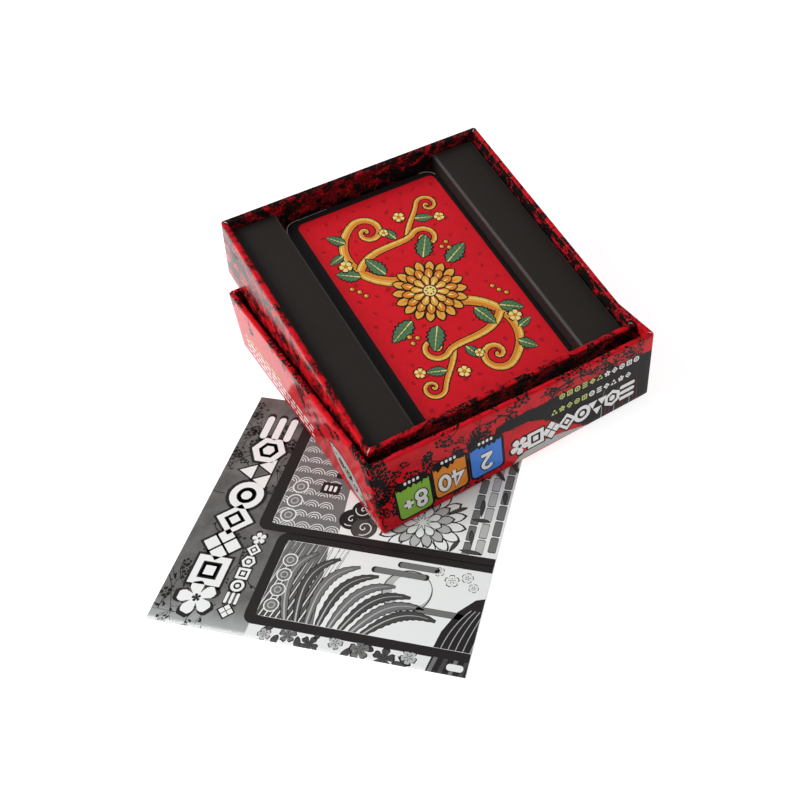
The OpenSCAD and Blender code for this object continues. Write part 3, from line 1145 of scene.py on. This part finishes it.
def card_face(suit):
    """The face of a suit: black edge, a hill or a cloud, three leafy stems and their blossoms."""
    length, width, leaf_ink, hangs = SUITS[suit][4:]
    rng = random.Random(40 + suit)
    way = np.array([1, -1 if hangs else 1])
    x = CARD_W / 2
    y = CARD_L / 2
    art = Art()
    side = x - 2.4
    end = y - 2.4
    inner = round_rect((-side, -end), (side, end), 2.6, 8)
    art.ring(round_rect((-x, -y), (x, y), CARD_R, 8), inner, EDGE, 0)
    hill = bezier((-side, -34), (-12, -24), (8, -36), (side, -29), 20)
    foot = [(side, 2.6 - end), (side - 2.6, -end), (2.6 - side, -end), (-side, 2.6 - end)]
    hill = np.vstack([hill, foot])
    art.fan(hill * way, FIELD if suit % 2 else GOLD, 0, (0, -37.5 * way[1]))
    for k, column in enumerate((-15, 0, 15)):
        top = 4 + 8 * ((k + suit) % 3)
        bend = column + rng.uniform(-3, 3)
        stem = bezier((column * 0.6, -32), (column * 0.8, -16), (bend, -4), (column, top), 18) * way
        art.stroke(stem, np.linspace(1.4, 0.7, len(stem)), PINE, 1)
        for j, i in enumerate((4, 7, 10, 13)):
            heading = math.atan2(*(stem[i + 1] - stem[i])[::-1])
            outline = petal(length, width) + [1.2, 0]
            lean = 0.8 if (j + k) % 2 else -0.8
            art.fan(turned(outline, heading + lean, stem[i]), leaf_ink, 2 if column == 0 else 1)
        suit_bloom(art, stem[-1] + way * [0, SUITS[suit][1] * 0.9], suit)
    return art


def card_place(number, under=False):
    """Where the back of a card of the deck lies, or its face, which is seen from below."""
    way = -1 if under else 1
    level = DECK_Z + (number - 1) * CARD_PITCH + (0 if under else CARD_T)

    def place(u, v, lift):
        return from_tray(np.stack([DECK_MIDDLE[0] + way * u, DECK_MIDDLE[1] + v, level + way * lift], axis=1))
    return place


# The booklet's print
def booklet_place(u, v, lift):
    """On the cover, and round its fold for small v."""
    r = BOOKLET_T / 2
    a = np.clip((r - v) / r, 0, QUARTER)
    y = np.where(v < r, r - (r + lift) * np.sin(a), v)
    z = np.where(v < r, r + (r + lift) * np.cos(a), BOOKLET_T + lift)
    return from_booklet(np.stack([u, y, z], axis=1))


def outlined(art, outline, fill, layer, line=0.9, middle=None):
    """A filled shape with a black outline; line is the share that the fill keeps."""
    outline = np.asarray(outline, float)
    centre = outline.mean(axis=0) if middle is None else np.asarray(middle, float)
    art.fan(outline, INKED, layer, centre)
    art.fan(centre + (outline - centre) * line, fill, layer + 0.4, centre)


def blade(art, line, width, fill, layer):
    """A long curved leaf with ragged sides and a pale rib."""
    t = np.linspace(0, 1, len(line))
    body = width * np.sin(math.pi * np.clip(t * 0.94 + 0.04, 0, 1)) ** 0.7
    body *= np.where(np.arange(len(line)) % 2, 0.78, 1.0)
    art.stroke(line, body + 0.55, INKED, layer)
    art.stroke(line, body, fill, layer + 0.4)
    art.stroke(line[1:-2], np.linspace(0.5, 0.12, len(line) - 3), MIST, layer + 0.8)


def line_bloom(art, at, size, turn, fill, layer):
    """An outlined blossom with stamens."""
    outlined(art, flower(at, size, 5, turn), fill, layer, 0.86, at)
    for i in range(5):
        art.stroke(ray(at, turn + i * TURN / 5, size * 0.1, size * 0.5), 0.18, INKED, layer + 0.8)


def stamp(art, at, radius):
    """A plain round stamp."""
    art.fan(circle(at, radius, 24), STONE, 5)
    art.ring(circle(at, radius, 24), circle(at, radius * 0.84, 24), PAPER, 6)
    art.ring(circle(at, radius * 0.5, 20), circle(at, radius * 0.34, 20), MIST, 6)


def lower_panel(rng):
    """Moon, clouds, tall grass and a dark hill."""
    art = Art()
    art.fan([(28, 5), (47, 5), (42, 36), (28, 36)], STONE, 3)
    for i in range(34):
        u = 28.5 + 0.55 * i
        line = bezier((u - 3, 6), (u - 1, 14), (u + 1, 24), (u + 3 + rng.uniform(-1, 1), 35), 9)
        art.stroke(line, np.linspace(0.34, 0.1, 9), INKED if i % 3 else PAPER, 4)
    outlined(art, circle((69, 22.5), 7.2, 40), MIST, 3, 0.95)
    art.fan(circle((70.2, 23.2), 5.6, 36), PAPER, 5)
    for at, length in (((57, 27), 17), ((64, 30), 13), ((72, 16.4), 15)):
        outlined(art, round_rect((at[0], at[1]), (at[0] + length, at[1] + 2.1), 1.0), STONE, 5, 0.9)
    for i in range(8):
        start = np.array([39 + 2.9 * i, 5.0])
        aim = math.radians(92 - 8.5 * i)
        reach = 27 - 0.9 * i
        tip = start + reach * np.array([math.cos(aim), math.sin(aim)])
        bend = start + reach * 0.55 * np.array([math.cos(aim + 0.35), math.sin(aim + 0.35)])
        line = bezier(start, bend, bend + (tip - start) * 0.25, tip + [2.5, -1.5], 23)
        blade(art, line, 3.1, SLATE if i % 2 else STONE, 5 + 1.2 * (i % 2))
    hill = [(80, 4), (81.5, 12), (84.5, 19), (88.5, 23.5), (94, 25.5), (96, 4)]
    outlined(art, hill, INKED, 5, 0.98)
    for i in range(5):
        line = bezier((82.5 + 2 * i, 6), (83 + 2 * i, 11), (85 + 1.8 * i, 16), (88 + 1.2 * i, 20), 10)
        art.stroke(line, 0.22, MIST, 7)
    for at, size in (((80.5, 28.4), 2.3), ((84.6, 30.2), 1.9), ((76.3, 30.8), 1.7), ((87.0, 27.2), 1.6)):
        line_bloom(art, at, size, rng.uniform(0, 1), PAPER, 5)
    for i in range(4):
        stamp(art, (33.0, 10.8 + 5.2 * i), 2.25)
    art.clip((29.9, 7.0), (BOOKLET_W, 33.0))
    return art


def upper_panel(rng):
    """Rolling waves, dark rounded clouds, a large pale flower and bamboo."""
    art = Art()
    art.fan([(20, 36), (44, 36), (38, 92), (20, 92)], STONE, 3)
    for row in range(14):
        for column in range(6):
            at = (23 + 4.6 * column + 2.3 * (row % 2), 38 + 4.2 * row)
            if at[0] > 43 - 0.08 * (at[1] - 36) * 2:
                continue
            for radius in (2.3, 1.5, 0.7):
                art.stroke(circle(at, radius, 24)[:13], 0.26, PAPER, 4)
    clouds = (((46, 44), 3.8), ((50.5, 41.6), 4.0), ((48.5, 48), 3.6), ((54, 46), 3.4))
    for i, (at, radius) in enumerate(clouds):
        outlined(art, circle(at, radius, 26), SLATE if i % 2 else INKED, 3 + 0.9 * i, 0.93)
        curl = spiral(at, rng.uniform(0, 6), radius * 0.7, 1.4, 1, 24)
        art.stroke(curl, 0.3, PAPER, 3.7 + 0.9 * i)
    middle = np.array([67.0, 47.0])
    rings = ((17, 4.0, 13.5, 3.7), (13, 2.4, 9.8, 3.3), (9, 1.0, 6.2, 2.9))
    for ring, (count, near, far, width) in enumerate(rings):
        for i in range(count):
            angle = 0.3 * ring + i * TURN / count
            shape = petal(far - near, width, 9, 1.5) + [near, 0]
            outlined(art, turned(shape, angle, middle), PAPER if ring != 1 else MIST, 3 + 1.8 * ring, 0.82)
    for i in range(3):
        u = 82 + 3.6 * i
        for j in range(9):
            low = (u - 1.2, 37 + 6 * j + 1.5 * i)
            outlined(art, round_rect(low, (u + 1.2, low[1] + 5.6), 0.5), STONE if i != 1 else MIST, 3, 0.9)
    for i in range(12):
        at = (79 + rng.uniform(0, 10), 39 + 4 * i)
        shape = petal(rng.uniform(5, 8), 1.5, 8, 0.8)
        outlined(art, turned(shape, rng.uniform(2.2, 5.4), at), SLATE, 5 + 0.9 * (i % 2), 0.8)
    for i in range(3):
        stamp(art, (26.6, 42.0 + 5.6 * i), 2.5)
    for low, wide in (((33.0, 52.0), 6.0), ((36.2, 58.5), 6.0)):
        art.fan(round_rect(low, (low[0] + wide, low[1] + 4.4), 0.4), INKED, 5)
        for i in range(3):
            bar = (low[0] + 1.0 + 1.5 * i, low[1] + 1.1)
            art.fan(round_rect(bar, (bar[0] + 0.9, bar[1] + 2.2), 0.25), PAPER, 6)
    art.clip((22.8, 38.2), (BOOKLET_W, BOOKLET_D))
    return art


def foot_strip(rng):
    """Blossoms and leaves that run over the fold."""
    art = Art()
    for i in range(9):
        at = (33 + 5.4 * i, rng.uniform(-0.2, 3.4))
        shape = petal(rng.uniform(4.0, 6.0), 2.0, 9, 0.8)
        outlined(art, turned(shape, rng.uniform(0, 6.3), at), SLATE, 2 + 0.9 * (i % 2), 0.8)
    blooms = ((34.5, 1.6, 2.2), (41.0, 2.7, 2.7), (47.5, 0.9, 2.9), (54.5, 2.9, 2.3), (61.5, 2.2, 3.3),
              (68.5, 1.0, 3.4), (75.0, 2.6, 2.6))
    for i, (u, v, size) in enumerate(blooms):
        line_bloom(art, (u, v), size, rng.uniform(0, 1.2), (MIST, STONE, SLATE)[i % 3], 4 + 1.2 * (i % 2))
    art.fan([(80, -1), (96, -1), (96, 5), (81, 5)], INKED, 3)
    for i in range(4):
        art.stroke([(81 + 2.8 * i, -1), (82.2 + 2.8 * i, 5)], 1.1, SLATE if i % 2 else STONE, 4)
    art.fan(round_rect((85.4, 1.0), (90.0, 3.0), 0.9), PAPER, 5)
    art.clip((30.0, -0.30), (BOOKLET_W, 4.2))
    return art


def side_band(rng):
    """Fine twigs along the band, and a row of large and small marks."""
    art = Art()
    for i in range(26):
        at = (rng.uniform(0, 26), rng.uniform(0, 86))
        twig(art, rng, at, rng.uniform(0, 6.3), rng.uniform(8, 18), 0.32, INKED, 0, 2, 0.06)
    for i in range(8):
        put_mark(art, MARK_ROW[i], (11.2, 8.9 + 9.45 * i), 11.4, QUARTER, PAPER, INKED, 4, 0.9)
    for i in range(7):
        put_mark(art, MARK_ROW[(5 * i + 2) % 8], (21.2, 6.4 + 4.25 * i), 4.3, QUARTER, PAPER, INKED, 4, 0.5)
    art.clip((0.0, -0.30), (28.0, BOOKLET_D))
    return art


def booklet_print():
    rng = random.Random(37)
    art = side_band(rng)
    page = Art()
    page.fan(round_rect((26.6, 4.0), (99, 35.6), 3.0), INKED, 1)
    page.fan(round_rect((18.9, 35.4), (99, 99), 3.0), INKED, 1)
    page.fan(round_rect((29.8, 6.9), (99, 33.1), 1.8), PAPER, 2)
    page.fan(round_rect((22.7, 38.1), (99, 99), 1.8), PAPER, 2)
    page.clip((0.0, 0.0), (BOOKLET_W, BOOKLET_D))
    art.join(page)
    art.join(lower_panel(rng))
    art.join(upper_panel(rng))
    art.join(foot_strip(rng))
    r = BOOKLET_T / 2
    art.cut([], [r * (1 - 0.25 * i) for i in range(7)])
    return art


def rounded_path(points, radius, n=6):
    """A path whose inner corners are arcs."""
    points = np.asarray(points, float)
    path = [points[0]]
    for before, at, after in zip(points, points[1:], points[2:]):
        a = (before - at) / np.linalg.norm(before - at)
        b = (after - at) / np.linalg.norm(after - at)
        centre = at + (a + b) * radius
        for share in np.linspace(0, QUARTER, n):
            path.append(centre - b * radius * math.cos(share) - a * radius * math.sin(share))
    path.append(points[-1])
    return np.asarray(path)


def folded_card():
    """The insert: one sheet of card folded into two shelves and a well, with soft folds."""
    half = INSERT_T / 2
    near = SHELF_W - half
    far = INSERT_W - near
    top = SHELF_H - half
    corners = [(half, 0), (half, top), (near, top), (near, half), (far, half), (far, top),
               (INSERT_W - half, top), (INSERT_W - half, 0)]
    path = rounded_path(corners, 0.85)
    side = np.full(len(path), half)
    loop = np.vstack([beside(path, side), beside(path, -side)[::-1]])
    n = len(loop)
    points = []
    for y in (0.0, INSERT_W):
        points += [(x + INSERT_AT[0], y + INSERT_AT[1], z + INSERT_AT[2]) for x, z in loop]
    faces = band(n)
    for i in range(n // 2 - 1):
        faces.append((n - 1 - i, n - 2 - i, i + 1, i))
        faces.append((n + i, n + i + 1, 2 * n - 2 - i, 2 * n - 1 - i))
    obj = new_object("insert_card", from_tray(np.asarray(points)), faces, 40)
    # The four upper folds are painted paler: partly wear, partly a painted highlight along the shelves' edges
    fold_wear_and_highlight = np.zeros(len(path))
    fold_wear_and_highlight[2:len(path) - 2] = 1
    fold_wear_and_highlight[1:-1:6] = 0
    fold_wear_and_highlight[6:-1:6] = 0
    fold_wear_and_highlight[path[:, 1] < SHELF_H / 2] = 0
    set_attribute(obj, "edge", np.tile(np.concatenate([fold_wear_and_highlight, fold_wear_and_highlight[::-1]]), 2))
    bm = bmesh.new()
    bm.from_mesh(obj.data)
    bmesh.ops.recalc_face_normals(bm, faces=bm.faces)
    bm.to_mesh(obj.data)
    bm.free()
    return obj


def dress(obj, material, body=None, stands_for=()):
    """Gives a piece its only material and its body."""
    obj.data.materials.clear()
    obj.data.materials.append(material)
    if body:
        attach(obj, body)
    if stands_for:
        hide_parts(*stands_for)


def repeat(piece, name, move, body):
    """The same printed mesh again, on another card."""
    copy = bpy.data.objects.new(name, piece.data)
    bpy.context.scene.collection.objects.link(copy)
    copy.location = move
    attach(copy, body)


# The lid and the tray
lid_red = wrap_paper("lid_paper", (0.56, 0.008, 0.015), (0.44, 0.006, 0.012), 0.12)
tray_red = wrap_paper("tray_paper", (0.54, 0.008, 0.015), (0.36, 0.006, 0.011), 0.13)
grey = board("grey_board")

# How far the boards keep inside the paper, whose edges are round
BOARD_INSET = 0.4

lid_paper = skin_object("lid_paper", lid_skin, 50, 22, 5, lid_dark)
dress(lid_paper, lid_red, "lid", ("lid_wrap_panel", "lid_wrap_sides"))
lid_board = board_object("lid_core", lid_skin, 30, BOARD_INSET)
dress(lid_board, grey, "lid", ("lid_board",))
lid_print().build("lid_print", lid_skin.point, box_inks, "lid", "lid_paper", BOX_STEP)

tray_paper = skin_object("tray_paper", tray_skin, 16, 12, 5, tray_black_and_shade)
dress(tray_paper, tray_red, "tray", ("tray_wrap",))
tray_board = board_object("tray_core", tray_skin, 4, BOARD_INSET)
dress(tray_board, grey, "tray", ("tray_board",))
tray_print().build("tray_print", tray_skin.point, box_inks, "tray", "tray_paper", BOX_STEP)

# The insert
insert_card = folded_card()
dress(insert_card, black_card("black_card"), "insert", ("insert",))

# The cards
stock = plain_paper("card_stock", (0.72, 0.71, 0.68), (0.66, 0.65, 0.62), 0.5)
back = card_back()
on_top = card_place(DECK_COUNT)
back.build("card_48_back", on_top, card_inks, "card_48", "card_stock", TOP_STEP)
# Painted highlight lines along the top card's back corners
corner_highlights().build("card_48_highlight", on_top, page_inks, "card_48", "card_stock", TOP_STEP)
low_back = back.build("card_01_back", card_place(1), card_inks, "card_01", "card_stock", BACK_STEP)
rise = from_tray(np.array([[0, 0, CARD_PITCH], [0, 0, 0]]))
rise = rise[0] - rise[1]
for number in range(1, DECK_COUNT + 1):
    name = f"card_{number:02d}"
    dress(nodes[name], stock)
    if 1 < number < DECK_COUNT:
        repeat(low_back, name + "_back", rise * (number - 1), name)
    suit, rank = divmod(number - 1, SUIT_CARDS)
    if rank == 0:
        place = card_place(number, True)
        face = card_face(suit).build(name + "_face", place, card_inks, name, "card_stock", FACE_STEP)
    else:
        repeat(face, name + "_face", rise * rank, name)

# The booklet
dress(nodes["booklet_cover"], cover_paper("cover_paper"))
sheet_paper = plain_paper("sheet_paper", (0.78, 0.79, 0.78), (0.70, 0.71, 0.70), 0.6)
dress(nodes["booklet_sheet_1"], sheet_paper)
dress(nodes["booklet_sheet_2"], sheet_paper)
booklet_print().build("booklet_print", booklet_place, page_inks, "booklet", "cover_paper", PAGE_STEP)

# Floor, light and camera
FLOOR_REACH = 4.0
FLOOR_DROP = 0.00005
sides = ((-1, -1, 0), (1, -1, 0), (1, 1, 0), (-1, 1, 0))
floor = new_object("floor", np.array(sides) * FLOOR_REACH, [(0, 1, 2, 3)])
pale = Nodes("floor")
pale.set(Base_Color=pale.mix(pale.noise(pale.place(), 0.004, 3.0), (0.45, 0.45, 0.45), (0.43, 0.43, 0.43)))
pale.set(Roughness=0.9, Specular_IOR_Level=0.1, Emission_Color=(1, 1, 1), Emission_Strength=0.80)
floor.data.materials.append(pale.material)
floor.location = (0, 0, -FLOOR_DROP)

# A white backdrop round the floor, which gives no light of its own to the object
DROP_SIDES = 48
drop_rings = ((3.9, -0.05), (3.9, 4.0), (0.1, 5.0))
drop_points = [(x, y, z) for reach, z in drop_rings for x, y in circle((0, 0), reach, DROP_SIDES)]
drop_faces = band(DROP_SIDES) + band(DROP_SIDES, DROP_SIDES)
backdrop = new_object("backdrop", drop_points, drop_faces)
white = Nodes("backdrop")
white.set(Base_Color=(0, 0, 0), Roughness=1.0, Emission_Color=(1, 1, 1), Emission_Strength=1.0)
backdrop.data.materials.append(white.material)
backdrop.visible_diffuse = False
backdrop.visible_glossy = False
backdrop.visible_transmission = False
backdrop.visible_shadow = False

world = bpy.data.worlds.new("studio")
bpy.context.scene.world = world
world.use_nodes = True
sky = world.node_tree.nodes["Background"]
sky.inputs["Color"].default_value = (1, 1, 1, 1)
sky.inputs["Strength"].default_value = 0.42


def lamp(name, at, size, power, aim=(0, 0, 0.02)):
    """A square soft box aimed at a point."""
    light = bpy.data.lights.new(name, "AREA")
    light.shape = "SQUARE"
    light.size = size
    light.energy = power
    obj = bpy.data.objects.new(name, light)
    bpy.context.scene.collection.objects.link(obj)
    obj.rotation_mode = "QUATERNION"
    obj.rotation_quaternion = (Vector(aim) - Vector(at)).to_track_quat("-Z", "Y")
    obj.location = at
    return obj


lamp("key", (-0.52, 0.18, 0.50), 0.40, 5.2)
lamp("fill", (0.15, -0.75, 0.70), 0.6, 1.0).visible_glossy = False

camera = bpy.data.cameras.new("camera")
camera.sensor_width = 36
camera.lens = 45.642
camera.shift_x = -0.0721
camera.shift_y = 0.0121
view = bpy.data.objects.new("camera", camera)
bpy.context.scene.collection.objects.link(view)
right = (0.848232, -0.526833, -0.054316)
up = (0.408372, 0.585284, 0.700482)
behind = (-0.337247, -0.616352, 0.7116)
eye = (-0.082497, -0.200181, 0.23664)
view.matrix_world = Matrix([(right[i], up[i], behind[i], eye[i]) for i in range(3)] + [(0, 0, 0, 1)])
bpy.context.scene.camera = view
bpy.context.scene.view_settings.view_transform = "Standard"
